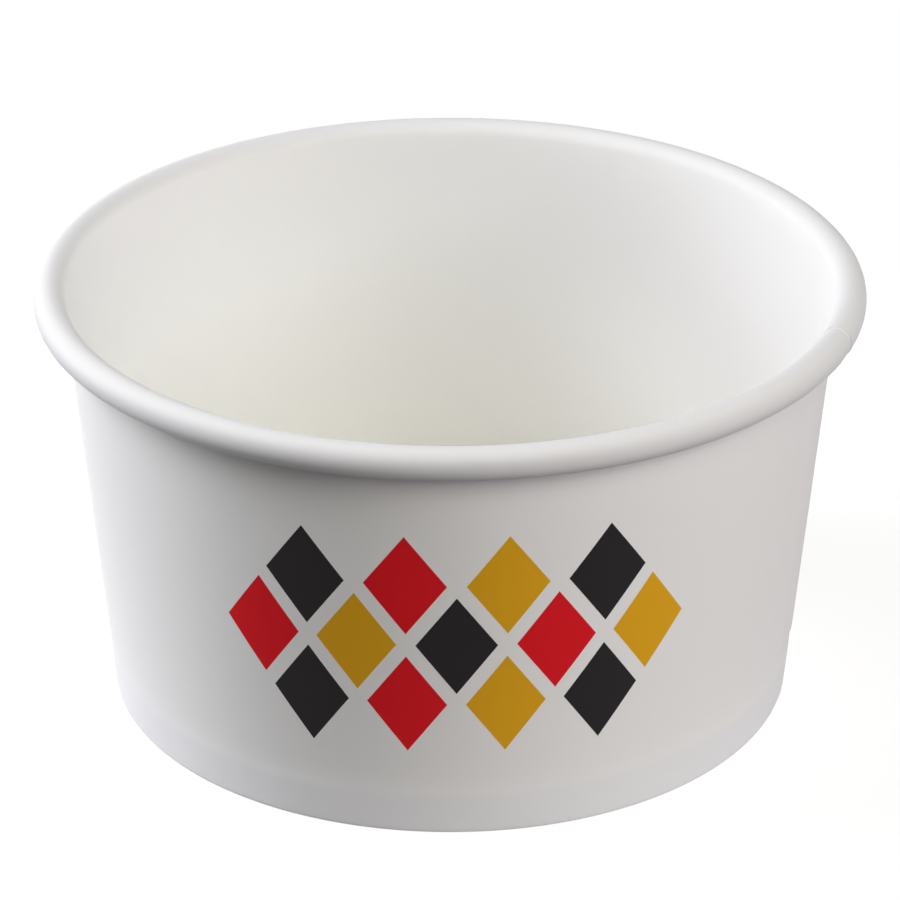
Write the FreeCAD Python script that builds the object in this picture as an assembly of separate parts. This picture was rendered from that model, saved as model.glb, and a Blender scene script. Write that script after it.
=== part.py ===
import FreeCAD
import Part

import math
import os

# A squat paper dessert cup, made from two blanks of coated paperboard as the real one is.
#
# The sidewall is a fan-shaped blank wrapped into a cone. Its two ends overlap in a lap seam, its top edge
# is rolled outwards and down until the raw edge meets the wall again, and its foot is folded inwards and
# up into a hem.
# The bottom is a disc whose edge is turned down into a skirt. The skirt is sealed in the pocket between
# the wall and the hem, so the floor stands clear of the table.
#
# Millimetres, +Z up. The origin is the centre of the ring that the cup stands on.

# Overall sizes
rim_diameter = 96.0         # over the rolled rim
base_diameter = 80.3        # outside of the wall where it meets the table
cup_height = 51.3           # table to the top of the rim

# Board and bonds
board = 0.36                # one ply of coated board
seal_film = 0.03            # coating melted between two sealed plies

# Rolled rim
roll_diameter = 3.7         # across the roll's section
roll_gap = 0.08             # raw edge of the roll to the wall
outside_chord = 30.0        # degrees turned by each chord of the roll's outer face
inside_chord = 45.0         # the same for its hidden inner face

# Foot
base_recess = 6.4           # table to the underside of the floor
hem_setback = 1.1           # underside of the floor to the raw edge of the hem
skirt_relief = 0.45         # raw edge of the skirt to the inside of the fold
fold_bevel = 0.3            # flat pressed across the two corners of the fold, measured along either side
bottom_radius = 0.9         # outside of the corner where the floor turns down into its skirt
bottom_chord = 45.0         # degrees turned by each chord of that corner

# Lap seam
lap_width = 6.0             # overlap of the blank's two ends, measured round the rim
lap_step = 0.30             # how far the outer ply stands out over the inner one once pressed
ramp_width = 4.0            # width over which the outer ply climbs onto the inner one
ramp_facets = 2             # straight stretches in that climb
crimp_margin = 1.0          # height above the floor up to which the crimped foot holds the lap flat
crimp_fade = 2.0            # height above that in which the step grows to its full size
seam_azimuth = -20.0        # degrees from +X towards +Y to the raw edge on the inside

# What follows from them
rim_radius = rim_diameter / 2
base_radius = base_diameter / 2
roll_radius = roll_diameter / 2
floor_height = base_recess + board
crimp_height = floor_height + crimp_margin
full_step_height = crimp_height + crimp_fade
hem_height = base_recess - hem_setback
skirt_foot = board + skirt_relief
lap_angle = math.degrees(lap_width / rim_radius)
ramp_angle = math.degrees(ramp_width / rim_radius)

# Depths of the faces in the foot, from the outside in: wall, skirt of the bottom, hem
wall_inside = board
skirt_outside = wall_inside + seal_film
skirt_inside = skirt_outside + board
hem_outside = skirt_inside + seal_film
hem_inside = hem_outside + board

straight_within = 1e-6      # a point this near to a straight run lies on it

ORIGIN = FreeCAD.Vector(0, 0, 0)
UP = FreeCAD.Vector(0, 0, 1)


def point(radius, height):
    """A point of the half plane in which the sections are drawn."""
    return FreeCAD.Vector(radius, 0, height)


# The wall's outer face is the line up from the foot that the hollow of the roll just touches.
roll_centre = point(rim_radius - roll_radius, cup_height - roll_radius)
foot_to_roll = roll_centre - point(base_radius, 0)
roll_bearing = math.atan2(foot_to_roll.z, foot_to_roll.x)
wall_lean = math.acos((roll_radius - board) / foot_to_roll.Length) - roll_bearing
wall_turn = 180 - math.degrees(wall_lean)


def ply_point(depth, height):
    """A point at a depth inside the wall's outer face, measured square to the wall."""
    return point(base_radius + height * math.tan(wall_lean) - depth / math.cos(wall_lean), height)


def on_roll(radius, degrees):
    """A point of the roll, by the angle from outwards towards up."""
    turn = math.radians(degrees)
    return roll_centre + point(radius * math.cos(turn), radius * math.sin(turn))


def chords(arc, step):
    """Points along an arc, about step degrees apart."""
    turn = math.degrees(arc.Length / arc.Curve.Radius)
    return arc.discretize(max(1, round(turn / step)) + 1)


def roll_face(radius, end, step):
    """Points along one face of the roll, with one at its top, its outermost and its lowest place."""
    stops = [wall_turn, 90, 0, -90, end]
    points = []
    for first, last in zip(stops, stops[1:]):
        arc = Part.Arc(on_roll(radius, first), on_roll(radius, (first + last) / 2), on_roll(radius, last))
        points += chords(arc.toShape(), step)[:-1]
    return points + [on_roll(radius, end)]


def bevel(before, corner, after, setback):
    """The two points that take a sharp corner off."""
    back = (before - corner).normalize()
    onward = (after - corner).normalize()
    return [corner + back * setback, corner + onward * setback]


def rounded(before, corner, after, radius, step):
    """Points along the arc that rounds a corner between two straight runs."""
    back = (before - corner).normalize()
    onward = (after - corner).normalize()
    half_angle = back.getAngle(onward) / 2
    middle_way = (back + onward).normalize()
    reach = radius / math.tan(half_angle)
    depth = radius / math.sin(half_angle) - radius
    arc = Part.Arc(corner + back * reach, corner + middle_way * depth, corner + onward * reach)
    return chords(arc.toShape(), step)


def corners(outline):
    """The points at which a closed outline turns."""
    kept = []
    for before, here, after in zip(outline[-1:] + outline[:-1], outline, outline[1:] + outline[:1]):
        if here.distanceToLine(before, after - before) > straight_within:
            kept.append(here)
    return kept


def filled(outline):
    return Part.Face(Part.makePolygon(outline + outline[:1]))


def sidewall_outline(food_step, back_step):
    """The section of the sidewall, from the start of the roll round to the wall again.

    The steps say how far the face towards the food, and the one on its back, lie off the faces of a single
    ply: outwards on the wall, inwards on the roll, and not at all in the foot, where the plies are crimped.
    """
    food_radius = roll_radius - food_step
    back_radius = roll_radius - board - back_step
    short_of_wall = math.degrees(math.acos((back_radius - roll_gap) / food_radius))
    raw_edge = wall_turn - 360 + short_of_wall
    roll = roll_face(food_radius, raw_edge, outside_chord)
    roll += reversed(roll_face(back_radius, raw_edge, inside_chord))

    back_foot = ply_point(0, crimp_height)
    wall_toe = ply_point(0, 0)
    hem_toe = ply_point(hem_inside, 0)
    hem_top = ply_point(hem_inside, hem_height)
    foot = [ply_point(-back_step, full_step_height), back_foot]
    foot += bevel(back_foot, wall_toe, hem_toe, fold_bevel)
    foot += bevel(wall_toe, hem_toe, hem_top, fold_bevel)
    foot += [hem_top, ply_point(hem_outside, hem_height)]
    foot += [ply_point(hem_outside, board), ply_point(wall_inside, board)]
    foot += [ply_point(wall_inside, crimp_height), ply_point(wall_inside - food_step, full_step_height)]
    return roll + foot


def turned(shape, azimuth):
    """A copy of a section turned about the cup's axis."""
    copy = shape.copy()
    copy.rotate(ORIGIN, UP, azimuth)
    return copy


def swept(section, azimuth, angle):
    """The solid that a section sweeps out round the cup, from azimuth on by angle."""
    return turned(section, azimuth).revolve(ORIGIN, UP, angle)


def sidewall():
    lap = swept(filled(sidewall_outline(0, lap_step)), seam_azimuth, lap_angle)

    single_angle = 360 - lap_angle - ramp_angle
    single = swept(filled(corners(sidewall_outline(0, 0))), seam_azimuth + lap_angle, single_angle)

    sections = []
    for facet in range(ramp_facets + 1):
        share = facet / ramp_facets
        section = filled(sidewall_outline(share * lap_step, share * lap_step))
        sections.append(turned(section, seam_azimuth - (1 - share) * ramp_angle).OuterWire)
    ramp = Part.makeLoft(sections, True, True)

    return single.fuse([lap, ramp])


def bottom():
    top_centre = point(0, floor_height)
    under_centre = point(0, base_recess)
    outer_tip = ply_point(skirt_outside, skirt_foot)
    inner_tip = ply_point(skirt_inside, skirt_foot)
    outer_corner = ply_point(skirt_outside, floor_height)
    inner_corner = ply_point(skirt_inside, base_recess)
    outline = [under_centre, top_centre]
    outline += rounded(top_centre, outer_corner, outer_tip, bottom_radius, bottom_chord)
    outline += [outer_tip, inner_tip]
    outline += rounded(inner_tip, inner_corner, under_centre, bottom_radius - board, bottom_chord)
    return swept(filled(outline), 0, 360)


os.makedirs("parts", exist_ok=True)
for name, shape in {"sidewall": sidewall(), "bottom": bottom()}.items():
    shape.exportStep(f"parts/{name}.step")
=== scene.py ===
import math

import bpy
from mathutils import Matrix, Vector


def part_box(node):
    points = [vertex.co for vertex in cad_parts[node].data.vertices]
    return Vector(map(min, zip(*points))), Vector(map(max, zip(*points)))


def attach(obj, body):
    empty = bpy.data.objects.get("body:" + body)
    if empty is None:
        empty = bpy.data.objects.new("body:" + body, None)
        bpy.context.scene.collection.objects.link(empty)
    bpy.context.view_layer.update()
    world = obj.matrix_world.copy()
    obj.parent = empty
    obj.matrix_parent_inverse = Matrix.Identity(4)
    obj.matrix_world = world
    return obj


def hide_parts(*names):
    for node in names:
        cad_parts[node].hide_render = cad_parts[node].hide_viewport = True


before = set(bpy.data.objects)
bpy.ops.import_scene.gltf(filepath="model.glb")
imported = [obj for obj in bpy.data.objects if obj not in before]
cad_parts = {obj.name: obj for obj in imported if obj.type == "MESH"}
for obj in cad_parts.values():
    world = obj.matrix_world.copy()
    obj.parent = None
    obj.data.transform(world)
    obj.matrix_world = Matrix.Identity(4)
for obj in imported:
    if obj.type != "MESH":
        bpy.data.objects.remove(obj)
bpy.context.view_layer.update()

# SIDEWALL
# One fan-shaped blank of coated paperboard, printed while flat, wrapped into a cone and sealed along a
# lap. Its top edge is rolled outwards and down, and its foot is folded inwards and up round the skirt of
# the bottom, then pressed with a ribbed roller.

wall_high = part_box("sidewall")[1]
rim_radius = wall_high.x
cup_height = wall_high.z
foot_radius = 0.04015
board = 0.00036
seal_film = 0.00003
roll_radius = 0.00185
roll_gap = 0.00008
hem_height = 0.0053
fold_top = 2 * board            # above this the wall and the hem are straight
foot_swell = 0.00006            # how far the pressed foot stands out below the line of the hem's edge
foot_fade = 0.0007              # the swell and the foot's painted cool tint fade out this far above and below that line

seam_azimuth = math.radians(-20)
lap_angle = 0.006 / rim_radius
ramp_angle = 0.004 / rim_radius
pressed_board = 0.000325        # one ply inside the pressed lap
ply_step = 0.000335             # how far the outer ply climbs onto the inner one on the free wall
foot_climb = 0.35               # share of that step that is left where the foot is crimped
fold_climb = 0.1                # share that is left in the fold
crimp_top = 0.0078
crimp_fade = 0.002
rolled_climb = 0.3              # share that is left where the rim was rolled
rolled_from = 0.0455
rolled_fade = 0.002

roll_stations = 26
hollow_stations = 8
wall_stations = 12
crimp_stations = 9
fold_stations = 4
hem_stations = 6
wall_turns = 960                # stretches round the cup
join_distance = 0.000001        # points nearer than this are one
crease_angle = math.radians(50)     # edges that turn by more than this look sharp

knurl_ribs = 130
knurl_height = 0.00009
knurl_ends = (0.0008, 0.0047)
knurl_fade = 0.0004
rim_waver = 0.00005             # the slight unevenness of a board that was bent and not moulded
waver_scale = 1.6               # waves of it to each radius of the cup, going round
waver_rise = 20.0               # radii that each metre of height counts for
waver_detail = 1.0
waver_seed = 4
groove_wall = (0.0464, 0.0470)  # heights between which painted shade darkens the wall in the crease below the roll
groove_roll = (math.radians(-75), math.radians(-45))    # the same on the roll, from outwards towards up
stretched_roll = (math.radians(5), math.radians(65))    # the roll is shade-painted fully below the first, not at all above the second

roll_centre = Vector((rim_radius - roll_radius, 0, cup_height - roll_radius))
foot_to_roll = roll_centre - Vector((foot_radius, 0, 0))
roll_bearing = math.atan2(foot_to_roll.z, foot_to_roll.x)
wall_lean = math.acos((roll_radius - board) / foot_to_roll.length) - roll_bearing
wall_turn = math.pi - wall_lean
raw_edge_turn = wall_turn - 2 * math.pi + math.acos((roll_radius - board - roll_gap) / roll_radius)
hem_depth = 3 * board + 2 * seal_film
wall_outward = Vector((math.cos(wall_lean), 0, -math.sin(wall_lean)))


def evenly(first, last, count):
    """Values from first to last, count stretches apart."""
    return [first + (last - first) * step / max(1, count) for step in range(count + 1)]


def smooth(value, start, end):
    """Rises from 0 at start to 1 at end, without corners."""
    share = min(1.0, max(0.0, (value - start) / (end - start)))
    return share * share * (3 - 2 * share)


def wall_point(depth, height):
    """A place at a depth inside the wall's outer face, measured square to the wall."""
    radius = foot_radius + height * math.tan(wall_lean) - depth / math.cos(wall_lean)
    return Vector((radius, 0, height))


def direction(turn):
    return Vector((math.cos(turn), 0, math.sin(turn)))


def food_face(roll_count, fold_count, hem_count):
    """Places on the face towards the food, from the rolled edge to the hem's.

    Each comes with the way through the board there.
    """
    places = []
    for turn in evenly(raw_edge_turn, wall_turn, roll_count):
        places.append((roll_centre + direction(turn) * roll_radius, -direction(turn)))
    wall_top = places[-1][0].z
    heights = evenly(wall_top, crimp_top + crimp_fade, wall_stations)[1:]
    heights += evenly(crimp_top + crimp_fade, hem_height - foot_fade, crimp_stations)[1:]
    heights += [fold_top]
    for height in heights:
        swell = foot_swell * (1 - smooth(height, hem_height - foot_fade, hem_height + foot_fade))
        places.append((wall_point(board - swell, height), wall_outward))
    outer_corner = wall_point(board - foot_swell, board)
    inner_corner = wall_point(hem_depth - board, board)
    for turn in evenly(-wall_lean, -math.pi / 2, fold_count):
        places.append((outer_corner, direction(turn)))
    for turn in evenly(-math.pi / 2, -math.pi - wall_lean, fold_count):
        places.append((inner_corner, direction(turn)))
    for height in evenly(fold_top, hem_height, hem_count):
        places.append((wall_point(hem_depth - board, height), -wall_outward))
    return places


def climb_at(place, through):
    """The share of the lap's step at a place of the section."""
    if place.z <= fold_top:
        return fold_climb
    if through.x < 0 and place.z <= hem_height:
        return foot_climb
    rolled = smooth(place.z, rolled_from, rolled_from + rolled_fade)
    free = smooth(place.z, crimp_top, crimp_top + crimp_fade)
    return foot_climb + (1 - foot_climb) * free - (1 - rolled_climb) * rolled


def groove_at(place, through, ply):
    """The share of painted shade in the crease where the roll closes on the wall, on either side of it."""
    if ply > 0.5:
        return smooth(place.z, *groove_wall)
    return 1 - smooth(math.atan2(-through.z, -through.x), *groove_roll)


def stretched_at(place, through, ply):
    """The share of painted shade on the roll's outer and lower sides, which the light from above does not
    reach.
    """
    if ply > 0.5 or place.z < roll_centre.z - roll_radius:
        return 0.0
    return 1 - smooth(math.atan2(-through.z, -through.x), *stretched_roll)


def knurl_at(place, through):
    """The share of the ribs' height at a place of the section: they are pressed into the hem alone."""
    if through.x > 0 or place.z > hem_height:
        return 0.0
    low, high = knurl_ends
    return smooth(place.z, low, low + knurl_fade) * (1 - smooth(place.z, high - knurl_fade, high))


def section_mesh(name, points, closed, **shares):
    """A section as a chain of edges. Each share is an attribute with one value for each point."""
    mesh = bpy.data.meshes.new(name)
    edges = [(here, here + 1) for here in range(len(points) - 1)]
    if closed:
        edges.append((len(points) - 1, 0))
    mesh.from_pydata(points, edges, [])
    for share, values in shares.items():
        if isinstance(values[0], Vector):
            layer = mesh.attributes.new(share, "FLOAT_VECTOR", "POINT")
            layer.data.foreach_set("vector", [number for value in values for number in value])
        else:
            layer = mesh.attributes.new(share, "FLOAT", "POINT")
            layer.data.foreach_set("value", values)
    return mesh


class Wire:
    """What comes out of a node. A sum of wires and numbers adds its Math nodes to the same tree."""

    def __init__(self, tree, socket=None):
        self.tree = tree
        self.socket = socket

    def node(self, kind, settings=None, sockets=None):
        """Adds a node, sets it, then gives its sockets their values or wires. Gives its first output."""
        node = self.tree.nodes.new(kind)
        for setting, value in (settings or {}).items():
            setattr(node, setting, value)
        for socket, value in (sockets or {}).items():
            if isinstance(value, Wire):
                self.tree.links.new(value.socket, node.inputs[socket])
            else:
                node.inputs[socket].default_value = value
        return Wire(self.tree, node.outputs[0] if node.outputs else None)

    def out(self, name):
        """Another output of the same node."""
        return Wire(self.tree, self.socket.node.outputs[name])

    def math(self, operation, first, second=0.0):
        return self.node("ShaderNodeMath", {"operation": operation}, {0: first, 1: second})

    def __add__(self, other):
        return self.math("ADD", self, other)

    def __radd__(self, other):
        return self.math("ADD", other, self)

    def __sub__(self, other):
        return self.math("SUBTRACT", self, other)

    def __rsub__(self, other):
        return self.math("SUBTRACT", other, self)

    def __mul__(self, other):
        return self.math("MULTIPLY", self, other)

    def __rmul__(self, other):
        return self.math("MULTIPLY", other, self)

    def __truediv__(self, other):
        return self.math("DIVIDE", self, other)

    def __abs__(self):
        return self.math("ABSOLUTE", self)

    def __gt__(self, other):
        return self.math("GREATER_THAN", self, other)

    def __lt__(self, other):
        return self.math("LESS_THAN", self, other)

    def rise(self, start, end):
        """Rises from 0 at start to 1 at end, without corners."""
        limits = {"Value": self, "From Min": start, "From Max": end}
        return self.node("ShaderNodeMapRange", {"interpolation_type": "SMOOTHSTEP"}, limits)


def turning_tree():
    """Sweeps a section round the cup's axis, laps the end over the start and presses ribs into it."""
    tree = bpy.data.node_groups.new("turn_section", "GeometryNodeTree")
    tree.interface.new_socket("Section", in_out="INPUT", socket_type="NodeSocketGeometry")
    angles = ("Seam Azimuth", "Turn", "Ramp", "Lap")
    lengths = ("Board", "Pressed Board", "Ply Step", "Rib Height", "Waver")
    for name in angles + lengths:
        tree.interface.new_socket(name, in_out="INPUT", socket_type="NodeSocketFloat")
    for name in ("Stretches", "Ribs", "Seed"):
        tree.interface.new_socket(name, in_out="INPUT", socket_type="NodeSocketInt")
    tree.interface.new_socket("Material", in_out="INPUT", socket_type="NodeSocketMaterial")
    tree.interface.new_socket("Piece", in_out="OUTPUT", socket_type="NodeSocketGeometry")
    start = Wire(tree)
    given = start.node("NodeGroupInput")

    # The section keeps its own place as an attribute, and the path keeps how far it has turned.
    place = start.node("GeometryNodeInputPosition")
    section = start.node(
        "GeometryNodeStoreNamedAttribute",
        {"data_type": "FLOAT_VECTOR", "domain": "POINT"},
        {"Geometry": given, "Name": "section", "Value": place},
    )
    profile = start.node("GeometryNodeMeshToCurve", {}, {"Mesh": section})
    arc = start.node(
        "GeometryNodeCurveArc",
        {"mode": "RADIUS"},
        {"Resolution": given.out("Stretches") + 1, "Radius": 1.0, "Sweep Angle": 1.0},
    )
    factor = start.node("GeometryNodeSplineParameter")
    path = start.node(
        "GeometryNodeStoreNamedAttribute",
        {"data_type": "FLOAT", "domain": "POINT"},
        {"Geometry": arc, "Name": "turned", "Value": factor * given.out("Turn")},
    )
    swept = start.node(
        "GeometryNodeCurveToMesh", {}, {"Curve": path, "Profile Curve": profile, "Fill Caps": True}
    )

    # Where each point comes to lie, through the board and round the axis.
    def stored(name, kind="FLOAT"):
        return start.node("GeometryNodeInputNamedAttribute", {"data_type": kind}, {"Name": name})

    turned = stored("turned")
    full_turn = 2 * math.pi
    first_end = 1 - turned.rise(given.out("Lap"), given.out("Lap") + given.out("Ramp"))
    last_end = turned.rise(full_turn - given.out("Ramp"), full_turn)
    pressed = (first_end + last_end) * (given.out("Board") - given.out("Pressed Board"))
    angle = turned + given.out("Seam Azimuth")
    rib = start.math("COSINE", turned * given.out("Ribs")) * 0.5 + 0.5
    depth = stored("ply") * (given.out("Board") - pressed)
    depth = depth + last_end * stored("climb") * given.out("Ply Step")
    depth = depth + rib * stored("knurl") * given.out("Rib Height")

    at = start.node("ShaderNodeSeparateXYZ", {}, {0: stored("section", "FLOAT_VECTOR")})
    through = start.node("ShaderNodeSeparateXYZ", {}, {0: stored("through", "FLOAT_VECTOR")})
    cosine = start.math("COSINE", angle)
    sine = start.math("SINE", angle)
    round_the_cup = start.node("ShaderNodeCombineXYZ", {}, {0: cosine, 1: sine, 2: at.out(2) * waver_rise})
    unevenness = start.node(
        "ShaderNodeTexNoise",
        {"noise_dimensions": "4D"},
        {"Vector": round_the_cup, "W": given.out("Seed"), "Scale": waver_scale, "Detail": waver_detail},
    )
    waver = (unevenness - 0.5) * given.out("Waver")
    radius = at + through * depth + waver
    height = at.out(2) + through.out(2) * depth
    laid = start.node("ShaderNodeCombineXYZ", {}, {0: radius * cosine, 1: radius * sine, 2: height})
    formed = start.node("GeometryNodeSetPosition", {}, {"Geometry": swept, "Position": laid})

    # Ends that meet are joined, and only real corners stay sharp.
    joined = start.node("GeometryNodeMergeByDistance", {}, {"Geometry": formed, "Distance": join_distance})
    rounded = start.node(
        "GeometryNodeSetShadeSmooth", {"domain": "FACE"}, {"Geometry": joined, "Shade Smooth": True}
    )
    corner = start.node("GeometryNodeInputMeshEdgeAngle") > crease_angle
    creased = start.node(
        "GeometryNodeSetShadeSmooth",
        {"domain": "EDGE"},
        {"Geometry": rounded, "Selection": corner, "Shade Smooth": False},
    )
    real = start.node("GeometryNodeRealizeInstances", {}, {"Geometry": creased})
    finished = start.node(
        "GeometryNodeSetMaterial", {}, {"Geometry": real, "Material": given.out("Material")}
    )
    start.node("NodeGroupOutput", {}, {"Piece": finished})
    return tree


def turned_piece(name, section, **inputs):
    """A piece swept from its section, as a plain mesh at the origin."""
    piece = bpy.data.objects.new(name, section)
    bpy.context.scene.collection.objects.link(piece)
    modifier = piece.modifiers.new("turn", "NODES")
    modifier.node_group = turn_section
    for socket in turn_section.interface.items_tree:
        given = socket.name.lower().replace(" ", "_")
        if given in inputs:
            modifier[socket.identifier] = inputs[given]
    graph = bpy.context.evaluated_depsgraph_get()
    formed = piece.evaluated_get(graph)
    mesh = bpy.data.meshes.new_from_object(formed, preserve_all_data_layers=True, depsgraph=graph)
    piece.modifiers.remove(modifier)
    piece.data = mesh
    return piece


# The blank's finish: a smooth film on the side of the food, a coat that takes ink on the other, and bare
# fibres on the cut edges.
food_side = (0.90, 0.898, 0.898, 1)
deep_bounce_tint = (0.95, 0.943, 0.905, 1)    # painted light: creamier deep in the cup, standing in for warm light bounced round inside it
deep_bounce_fade = (0.010, 0.046)              # heights between which the one passes into the other
# Painted shade: the roll's outer and lower sides are darkened because the light falls from above.
stretched_film = (0.77, 0.77, 0.785, 1)
print_side = (0.94, 0.94, 0.94, 1)
foot_bounce_tint = (0.915, 0.918, 0.94, 1)     # painted light: the foot tinted cooler, standing in for cool light bounced up from the floor
# Painted shade: a grey laid into the crease under the roll, where the roll shades the wall.
groove_grey = (0.30, 0.29, 0.29, 1)
groove_share = 0.40
cloud_tone = (0.80, 0.79, 0.76, 1)
cloud_share = 0.05
cut_fibres = (0.80, 0.77, 0.69, 1)
cut_hollows = (0.62, 0.57, 0.47, 1)
cut_hollow_share = 0.5
charcoal_ink = (0.016, 0.014, 0.015, 1)
red_ink = (0.80, 0.012, 0.020, 1)
gold_ink = (0.82, 0.42, 0.015, 1)

cloud_grain = (260.0, 4.0)      # spots to the metre, and how finely each is broken up
fibre_grain = (2400.0, 3.0)
cut_grain = (9000.0, 2.0)
dent_grain = (170.0, 1.0)
cut_within = (0.02, 0.06)       # shares of the board between which its face passes into the cut edge

film_roughness = 0.42
print_roughness = 0.12          # how much rougher the printed side is
cloud_roughness = 0.06
cut_roughness = 0.4
film_specular = 0.10

fibre_relief = 0.35             # how much each grain lifts the surface, against the others
cloud_relief = 0.65
cut_relief = 2.0
crimp_relief = 3.0              # the foot's slight dents
relief_strength = 0.12
relief_depth = 0.0002

tile_width = 0.0112
tile_height = 0.0155
tile_gap = 0.09                 # share of a tile's breadth that stays white on each side
ink_edge = 0.008
side_rows = 1                   # rows of tiles above and below the middle one
end_tiles = 2                   # tiles on either side of the middle one, in the middle row
print_height = 0.0252
print_radius = 0.0425
front_azimuth = math.radians(271)
front_print = front_azimuth - seam_azimuth
back_print = front_print - math.pi


def diamonds(start, turned, height, middle):
    """Which ink lies at a place of the flat blank: masks of charcoal, red and gold tiles about a middle."""
    across = (turned - middle) * (print_radius / tile_width) + 0.5
    up = (height - print_height) / tile_height
    first = across + up
    second = across - up
    column = start.math("FLOOR", first)
    row = start.math("FLOOR", second)
    in_first = 0.5 - abs(first - column - 0.5)
    in_second = 0.5 - abs(second - row - 0.5)
    tile = start.math("MINIMUM", in_first, in_second).rise(tile_gap, tile_gap + ink_edge)
    level = abs(column - row)
    place = column + row
    tile = tile * (level < side_rows + 0.5) * (abs(place) + level < 2 * end_tiles + 0.5)
    ink = start.math("FLOORED_MODULO", place, 3)
    return tile * (ink < 0.5), tile * (ink > 1.5), tile * (abs(ink - 1) < 0.5)


def mixed(start, share, first, second):
    """Two colours mixed by a share."""
    return start.node("ShaderNodeMix", {"data_type": "RGBA"}, {0: share, 6: first, 7: second}).out(2)


def grain(start, place, spots, detail):
    """A noise with so many spots to the metre."""
    return start.node("ShaderNodeTexNoise", {}, {"Vector": place, "Scale": spots, "Detail": detail})


def board_material(name, printed):
    """Coated board, by the share of its thickness at which a face lies. Only the wall's is printed."""
    material = bpy.data.materials.new(name)
    material.use_nodes = True
    tree = material.node_tree
    tree.nodes.clear()
    start = Wire(tree)

    def stored(share):
        return start.node("ShaderNodeAttribute", {"attribute_name": share}).out("Fac")

    place = start.node("ShaderNodeTexCoord").out("Object")
    height = start.node("ShaderNodeSeparateXYZ", {}, {0: place}).out(2)
    ply = stored("ply")
    back = ply > 0.5
    cut = (0.5 - abs(ply - 0.5)).rise(*cut_within)
    cloud = grain(start, place, *cloud_grain)
    fibre = grain(start, place, *fibre_grain)
    cut_spots = grain(start, place, *cut_grain)
    dents = grain(start, place, *dent_grain)

    # The film's own colour, with warm bounced light painted in deep in the cup.
    film_and_bounce = mixed(start, height.rise(*deep_bounce_fade), deep_bounce_tint, food_side)
    above_foot = height.rise(hem_height - foot_fade, hem_height + foot_fade)
    # The print side, with the floor's cool bounced light painted in at the foot.
    outside = mixed(start, above_foot, foot_bounce_tint, print_side)
    colour = mixed(start, back, film_and_bounce, outside)
    colour = mixed(start, cloud * cloud_share, colour, cloud_tone)
    if printed:
        turned = stored("turned")
        for middle in (front_print, back_print):
            charcoal, red, gold = diamonds(start, turned, height, middle)
            for mask, ink in ((charcoal, charcoal_ink), (red, red_ink), (gold, gold_ink)):
                colour = mixed(start, mask * back, colour, ink)
        # Painted shade on the roll's outer and lower sides.
        colour = mixed(start, stored("stretched"), colour, stretched_film)
        # Painted shade in the crease under the roll.
        colour = mixed(start, stored("groove") * groove_share, colour, groove_grey)
    colour = mixed(start, cut, colour, cut_fibres)
    colour = mixed(start, cut * cut_spots * cut_hollow_share, colour, cut_hollows)

    roughness = film_roughness + back * print_roughness + cloud * cloud_roughness + cut * cut_roughness
    crimped = 1 - height.rise(hem_height - foot_fade, crimp_top)
    relief = fibre * fibre_relief + cloud * cloud_relief
    relief = relief + cut * cut_spots * cut_relief + dents * crimped * crimp_relief
    bump = start.node(
        "ShaderNodeBump", {}, {"Height": relief, "Strength": relief_strength, "Distance": relief_depth}
    )
    surface = start.node(
        "ShaderNodeBsdfPrincipled",
        {},
        {"Base Color": colour, "Roughness": roughness, "Normal": bump, "Specular IOR Level": film_specular},
    )
    start.node("ShaderNodeOutputMaterial", {}, {"Surface": surface})
    return material


turn_section = turning_tree()

# Both faces are laid from the one towards the food: ply is the share of the board that lies between. The
# food's own face turns each corner of the fold at a single point.
back_face = food_face(hollow_stations, fold_stations, hem_stations)
inner_face = food_face(roll_stations, fold_count=0, hem_count=1)
places = [(place, through, 1.0) for place, through in back_face]
places += [(place, through, 0.0) for place, through in reversed(inner_face)]
wall_section = section_mesh(
    "wall_section",
    [place for place, through, ply in places],
    True,
    through=[through for place, through, ply in places],
    ply=[ply for place, through, ply in places],
    climb=[climb_at(place, through) for place, through, ply in places],
    knurl=[ply * knurl_at(place, through) for place, through, ply in places],
    # painted shade in the crease under the roll
    groove=[groove_at(place, through, ply) for place, through, ply in places],
    # painted shade on the roll's outer and lower sides
    stretched=[stretched_at(place, through, ply) for place, through, ply in places],
)
wall_blank = turned_piece(
    "wall_blank",
    wall_section,
    seam_azimuth=seam_azimuth,
    turn=2 * math.pi + lap_angle,
    ramp=ramp_angle,
    lap=lap_angle,
    board=board,
    pressed_board=pressed_board,
    ply_step=ply_step,
    rib_height=knurl_height,
    waver=rim_waver,
    stretches=wall_turns,
    ribs=knurl_ribs,
    seed=waver_seed,
    material=board_material("printed_board", True),
)
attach(wall_blank, "root")
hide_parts("sidewall")

# BOTTOM
# A disc of the same board, coated on the side of the food. Its edge is turned down into a skirt that is
# sealed between the wall and the hem, and that draws slight puckers round the corner.

bottom_low, bottom_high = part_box("bottom")
floor_top = bottom_high.z
skirt_foot = bottom_low.z
corner_radius = 0.0009
corner_stations = 6
floor_stations = 14
floor_sag = 0.00018
bottom_turns = 480
puckers = 90
pucker_height = 0.00004
pucker_inward = (0.004, 0.001)  # distances in from the corner between which the puckers grow
pucker_down = (0.0015, 0.004)   # distances down from the floor between which they die out


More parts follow.
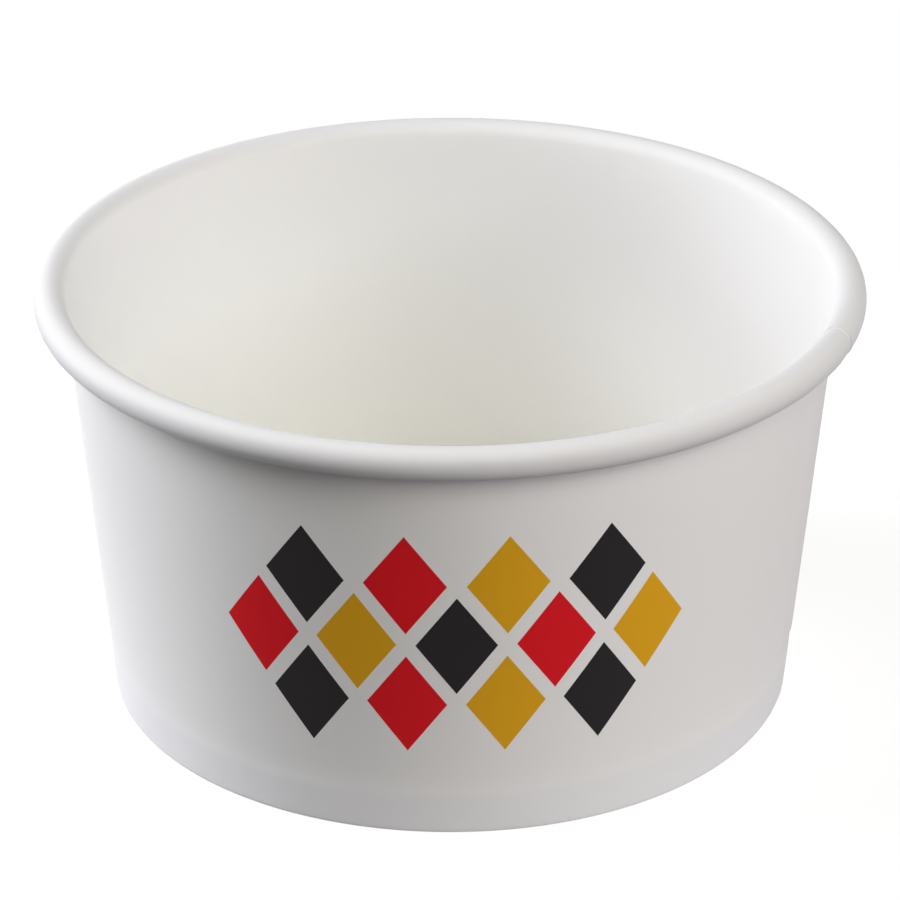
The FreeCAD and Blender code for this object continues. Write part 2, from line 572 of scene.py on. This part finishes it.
def disc_face():
    """Places on the upper face, from the centre to the skirt's cut edge.

    Each comes with the way through the board there.
    """
    skirt_top = wall_point(board + seal_film, floor_top)
    corner_turn = math.pi / 2 + wall_lean
    reach = corner_radius * math.tan(corner_turn / 2)
    corner_centre = Vector((skirt_top.x - reach, 0, floor_top - corner_radius))
    places = []
    for radius in evenly(0, corner_centre.x, floor_stations)[:-1]:
        dip = floor_sag * (1 - (radius / corner_centre.x) ** 2) ** 2
        places.append((Vector((radius, 0, floor_top - dip)), Vector((0, 0, -1))))
    for turn in evenly(math.pi / 2, math.pi / 2 - corner_turn, corner_stations):
        places.append((corner_centre + direction(turn) * corner_radius, -direction(turn)))
    places.append((wall_point(board + seal_film, skirt_foot), -wall_outward))
    return places


def pucker_at(place):
    """The share of the puckers' height at a place of the section: they die out away from the corner."""
    corner = wall_point(board + seal_film, floor_top).x
    far, near = pucker_inward
    grown = smooth(place.x, corner - far, corner - near)
    return grown * (1 - smooth(floor_top - place.z, *pucker_down))


upper_face = disc_face()
places = [(place, through, 0.0) for place, through in upper_face]
places += [(place, through, 1.0) for place, through in reversed(upper_face)]
disc_section = section_mesh(
    "disc_section",
    [place for place, through, ply in places],
    False,
    through=[through for place, through, ply in places],
    ply=[ply for place, through, ply in places],
    climb=[0.0 for place in places],
    knurl=[pucker_at(place) for place, through, ply in places],
)
bottom_disc = turned_piece(
    "bottom_disc",
    disc_section,
    seam_azimuth=0.0,
    turn=2 * math.pi,
    ramp=ramp_angle,
    lap=0.0,
    board=board,
    pressed_board=board,
    ply_step=0.0,
    rib_height=pucker_height,
    waver=0.0,
    stretches=bottom_turns,
    ribs=puckers,
    seed=1,
    material=board_material("floor_board", False),
)
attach(bottom_disc, "root")
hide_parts("bottom")

# TABLE AND STUDIO
# A plain pale table that stays white to the eye and keeps the cup's shadow. Square soft lamps stand round
# the cup: two strong ones on the left, the second of them low and behind it, two weaker ones on the right,
# and a warm one in front.

table_half = 3.0
table_drop = 0.00003            # the table lies this far below the cup, so that the two share no plane
table_bounce = (0.12, 0.12, 0.12, 1)
foot_glow = (0.18, 0.176, 0.18, 1)      # the table glows round the foot, unseen by the eye, lighting it as a white sheet under the cup would; it is no lamp
foot_glow_fade = (0.045, 0.075)         # distances from the cup's axis between which that light ends
table_glow = 0.80                       # near the cup the table glows this much, and the lamps add the rest
table_catch = (0.36, 0.36, 0.36, 1)
shadow_fade = (0.075, 0.17)             # distances between which the table turns plain white
room_glow = 0.01
lamp_distance = 0.8
lamp_size = 0.4


def seen_directly(start):
    """1 for what the eye sees, straight or in a gloss."""
    path = start.node("ShaderNodeLightPath")
    seen = start.math("MAXIMUM", path.out("Is Camera Ray"), path.out("Is Glossy Ray"))
    return start.math("MAXIMUM", seen, path.out("Is Transmission Ray"))


table_mesh = bpy.data.meshes.new("table")
table_sides = [(-1, -1), (1, -1), (1, 1), (-1, 1)]
table_corners = [(x * table_half, y * table_half, -table_drop) for x, y in table_sides]
table_mesh.from_pydata(table_corners, [], [(0, 1, 2, 3)])
table = bpy.data.objects.new("table", table_mesh)
bpy.context.scene.collection.objects.link(table)
table_paint = bpy.data.materials.new("table_paint")
table_paint.use_nodes = True
table_paint.node_tree.nodes.clear()
start = Wire(table_paint.node_tree)
place = start.node("ShaderNodeTexCoord").out("Object")
from_cup = start.node("ShaderNodeVectorMath", {"operation": "LENGTH"}, {0: place}).out("Value")
bounce = start.node("ShaderNodeBsdfDiffuse", {}, {"Color": table_bounce})
# A glow painted into the table round the cup's foot, for light that does not reach the eye.
foot_glow_patch = start.node("ShaderNodeEmission", {}, {"Color": foot_glow, "Strength": 1.0})
bounce_and_glow = start.node("ShaderNodeAddShader", {}, {0: bounce, 1: foot_glow_patch})
from_below = start.node(
    "ShaderNodeMixShader", {}, {0: from_cup.rise(*foot_glow_fade), 1: bounce_and_glow, 2: bounce}
)
glow = start.node("ShaderNodeEmission", {}, {"Color": (1, 1, 1, 1), "Strength": table_glow})
catch = start.node("ShaderNodeBsdfDiffuse", {}, {"Color": table_catch})
white = start.node("ShaderNodeEmission", {}, {"Color": (1, 1, 1, 1), "Strength": 1.0})
near = start.node("ShaderNodeAddShader", {}, {0: glow, 1: catch})
seen = start.node("ShaderNodeMixShader", {}, {0: from_cup.rise(*shadow_fade), 1: near, 2: white})
surface = start.node("ShaderNodeMixShader", {}, {0: seen_directly(start), 1: from_below, 2: seen})
start.node("ShaderNodeOutputMaterial", {}, {"Surface": surface})
table_mesh.materials.append(table_paint)

world = bpy.data.worlds.new("studio")
world.use_nodes = True
world.node_tree.nodes.clear()
start = Wire(world.node_tree)
room = start.node("ShaderNodeBackground", {}, {"Color": (1, 1, 1, 1), "Strength": room_glow})
backdrop = start.node("ShaderNodeBackground", {}, {"Color": (1, 1, 1, 1), "Strength": 1.0})
surface = start.node("ShaderNodeMixShader", {}, {0: seen_directly(start), 1: room, 2: backdrop})
start.node("ShaderNodeOutputWorld", {}, {"Surface": surface})
bpy.context.scene.world = world


def softbox(name, azimuth, elevation, power, colour):
    """A square lamp that faces the middle of the cup. Angles are in degrees, and power is in watts."""
    lamp = bpy.data.lights.new(name, "AREA")
    lamp.shape = "SQUARE"
    lamp.size = lamp_size
    lamp.energy = power
    lamp.color = colour
    holder = bpy.data.objects.new(name, lamp)
    bpy.context.scene.collection.objects.link(holder)
    turn, lift = math.radians(azimuth), math.radians(elevation)
    away = Vector((math.cos(turn) * math.cos(lift), math.sin(turn) * math.cos(lift), math.sin(lift)))
    holder.location = Vector((0, 0, cup_height / 2)) + away * lamp_distance
    holder.rotation_mode = "QUATERNION"
    holder.rotation_quaternion = away.to_track_quat("Z", "Y")
    holder.visible_camera = False


softbox("left", 178, 42, 4.2, (0.94, 0.93, 1.0))
softbox("back_left", 162, 10, 3.9, (0.985, 1.0, 0.98))
softbox("right_low", -34, 8, 1.2, (1.0, 0.83, 0.94))
softbox("right_high", -30, 28, 2.3, (0.985, 1.0, 0.96))
softbox("front", -70, 40, 1.65, (1.0, 0.98, 0.86))

# EYE
# The place from which the cup is seen: in front of it, half a metre away and looking down on it, through a
# lens long enough to fill the picture with the cup.

eye_back = 0.4522
eye_height = 0.2536
eye_pitch = math.radians(26.51)
eye_lens = 171.55               # millimetres
eye_width = 36.0                # of the frame behind the lens, in millimetres too
eye_reach = (0.01, 20.0)
eye = bpy.data.cameras.new("eye")
eye.lens = eye_lens
eye.sensor_width = eye_width
eye.clip_start, eye.clip_end = eye_reach
holder = bpy.data.objects.new("eye", eye)
holder.location = (0, -eye_back, eye_height)
holder.rotation_euler = (math.pi / 2 - eye_pitch, 0, 0)
bpy.context.scene.collection.objects.link(holder)
bpy.context.scene.camera = holder
bpy.context.scene.view_settings.view_transform = "Standard"
